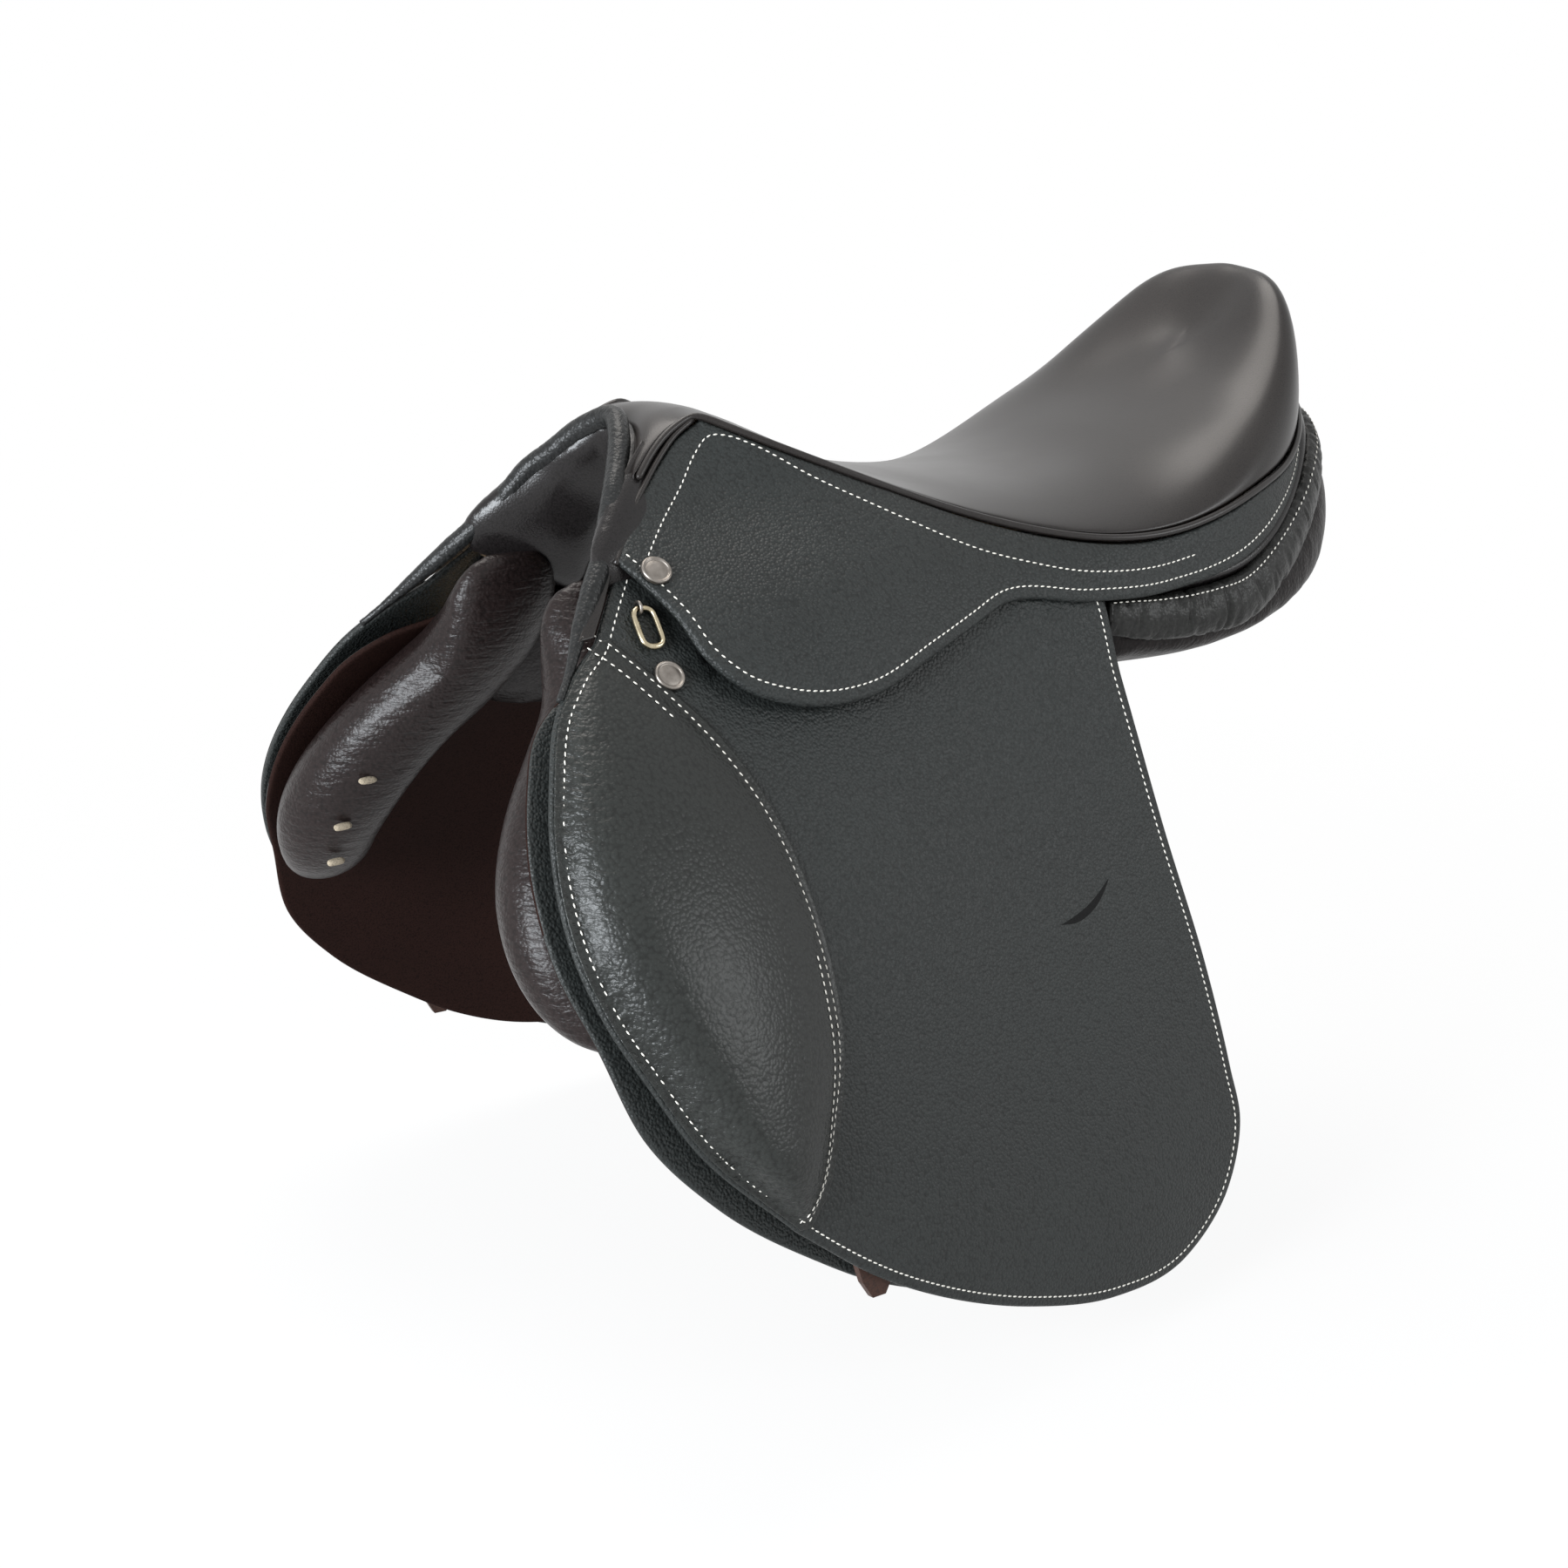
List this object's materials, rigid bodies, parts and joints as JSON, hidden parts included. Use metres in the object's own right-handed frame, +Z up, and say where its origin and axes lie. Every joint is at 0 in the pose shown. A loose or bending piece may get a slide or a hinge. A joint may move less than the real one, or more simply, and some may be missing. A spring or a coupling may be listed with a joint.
{
  "type": "english saddle",
  "caption": "All-purpose English riding saddle in black leather: forward flaps with knee rolls, stuffed panels, girth straps; flaps, skirts, straps and rings move.",
  "frame": {"origin": "on the mid plane, on the lowest line of the rider's seat; the horse's back carries the saddle through its panels", "axes": "+Z up, -X towards the pommel and the horse's head, +X towards the cantle, -Y the near (left) side, +Y the off (right) side"},
  "size_m": [0.6016, 0.4606, 0.5091],
  "materials": {
    "seat_leather": "smooth, satin",
    "flap_leather": "pebble grained, matt",
    "panel_leather": "soft, creased, satin",
    "under_leather": "smooth, dark brown, matt",
    "strap_leather": "smooth, tan brown, satin",
    "thread": "waxed thread, cream",
    "laminated_wood": "varnished laminate",
    "steel": "satin",
    "antique_nickel": "antique, worn satin",
    "webbing": "woven webbing"
  },
  "bodies": {
    "saddle": {"arch_pad": "panel_leather", "arch_roll": "panel_leather", "cantle_facing": "panel_leather", "cantle_roll": "under_leather", "channel_lining": "under_leather", "dee_staple_left": "antique_nickel", "dee_staple_right": "antique_nickel", "flap_head_left": "flap_leather", "flap_head_right": "flap_leather", "girth_web_point_left": "webbing", "girth_web_point_right": "webbing", "girth_web_rear_left": "webbing", "girth_web_rear_right": "webbing", "gullet_plate": "steel", "panel_left": "panel_leather", "panel_right": "panel_leather", "panel_roll_left": "panel_leather", "panel_roll_right": "panel_leather", "panel_tie_1_left": "thread", "panel_tie_1_right": "thread", "panel_tie_2_left": "thread", "panel_tie_2_right": "thread", "panel_tie_3_left": "thread", "panel_tie_3_right": "thread", "seat_cover": "seat_leather", "seat_web_cross": "webbing", "seat_web_long": "webbing", "skirt_left": "flap_leather", "skirt_right": "flap_leather", "spring_steel_left": "steel", "spring_steel_right": "steel", "stirrup_bar_left": "steel", "stirrup_bar_right": "steel", "stud_lower_left": "antique_nickel", "stud_lower_right": "antique_nickel", "stud_upper_left": "antique_nickel", "stud_upper_right": "antique_nickel", "sweat_flap_left": "under_leather", "sweat_flap_right": "under_leather", "tree_head": "laminated_wood", "tree_rails": "laminated_wood", "welt_piping": "seat_leather"},
    "flap_left": {"flap_left": "flap_leather", "knee_roll_left": "panel_leather"},
    "skirt_lobe_left": {"skirt_lobe_left": "flap_leather"},
    "bar_catch_left": {"bar_catch_left": "steel"},
    "dee_left": {"dee_left": "antique_nickel"},
    "girth_strap_point_left": {"girth_strap_point_left": "strap_leather"},
    "girth_strap_front_left": {"girth_strap_front_left": "strap_leather"},
    "girth_strap_rear_left": {"girth_strap_rear_left": "strap_leather"},
    "flap_right": {"flap_right": "flap_leather", "knee_roll_right": "panel_leather"},
    "skirt_lobe_right": {"skirt_lobe_right": "flap_leather"},
    "bar_catch_right": {"bar_catch_right": "steel"},
    "dee_right": {"dee_right": "antique_nickel"},
    "girth_strap_point_right": {"girth_strap_point_right": "strap_leather"},
    "girth_strap_front_right": {"girth_strap_front_right": "strap_leather"},
    "girth_strap_rear_right": {"girth_strap_rear_right": "strap_leather"}
  },
  "joints": [
    {"name": "flap_lift_left", "type": "hinge", "parent": "saddle", "child": "flap_left", "pos_m": [-0.08, -0.12967, -0.0999], "axis": [-0.9987, 0.05, 0.0002], "range_deg": [0, 75]},
    {"name": "skirt_lift_left", "type": "hinge", "parent": "saddle", "child": "skirt_lobe_left", "pos_m": [-0.086, -0.11672, -0.04733], "axis": [-0.9757, 0.1906, 0.108], "range_deg": [0, 60]},
    {"name": "bar_catch_lift_left", "type": "hinge", "parent": "saddle", "child": "bar_catch_left", "pos_m": [-0.0926, -0.10642, -0.06016], "axis": [-0.1344, -0.8266, 0.5465], "range_deg": [0, 80]},
    {"name": "dee_swing_left", "type": "hinge", "parent": "saddle", "child": "dee_left", "pos_m": [-0.1905, -0.08218, -0.04471], "axis": [-0.9991, 0.0427, -0.0009], "range_deg": [0, 75]},
    {"name": "girth_strap_swing_point_left", "type": "hinge", "parent": "saddle", "child": "girth_strap_point_left", "pos_m": [-0.146, -0.12571, -0.11203], "axis": [0.0444, -0.9546, 0.2946], "range_deg": [-3, 3]},
    {"name": "girth_strap_swing_front_left", "type": "hinge", "parent": "saddle", "child": "girth_strap_front_left", "pos_m": [-0.062, -0.1175, -0.09152], "axis": [0.0935, -0.9526, 0.2896], "range_deg": [-3, 3]},
    {"name": "girth_strap_swing_rear_left", "type": "hinge", "parent": "saddle", "child": "girth_strap_rear_left", "pos_m": [-0.014, -0.12083, -0.09087], "axis": [0.075, -0.9534, 0.2924], "range_deg": [-3, 3]},
    {"name": "flap_lift_right", "type": "hinge", "parent": "saddle", "child": "flap_right", "pos_m": [-0.08, 0.12967, -0.0999], "axis": [0.9987, 0.05, -0.0002], "range_deg": [0, 75]},
    {"name": "skirt_lift_right", "type": "hinge", "parent": "saddle", "child": "skirt_lobe_right", "pos_m": [-0.086, 0.11672, -0.04733], "axis": [0.9757, 0.1906, -0.108], "range_deg": [0, 60]},
    {"name": "bar_catch_lift_right", "type": "hinge", "parent": "saddle", "child": "bar_catch_right", "pos_m": [-0.0926, 0.10642, -0.06016], "axis": [0.1344, -0.8266, -0.5465], "range_deg": [0, 80]},
    {"name": "dee_swing_right", "type": "hinge", "parent": "saddle", "child": "dee_right", "pos_m": [-0.1905, 0.08218, -0.04471], "axis": [0.9991, 0.0427, 0.0009], "range_deg": [0, 75]},
    {"name": "girth_strap_swing_point_right", "type": "hinge", "parent": "saddle", "child": "girth_strap_point_right", "pos_m": [-0.146, 0.12571, -0.11203], "axis": [0.0444, 0.9546, 0.2946], "range_deg": [-3, 3]},
    {"name": "girth_strap_swing_front_right", "type": "hinge", "parent": "saddle", "child": "girth_strap_front_right", "pos_m": [-0.062, 0.1175, -0.09152], "axis": [0.0935, 0.9526, 0.2896], "range_deg": [-3, 3]},
    {"name": "girth_strap_swing_rear_right", "type": "hinge", "parent": "saddle", "child": "girth_strap_rear_right", "pos_m": [-0.014, 0.12083, -0.09087], "axis": [0.075, 0.9534, 0.2924], "range_deg": [-3, 3]}
  ]
}
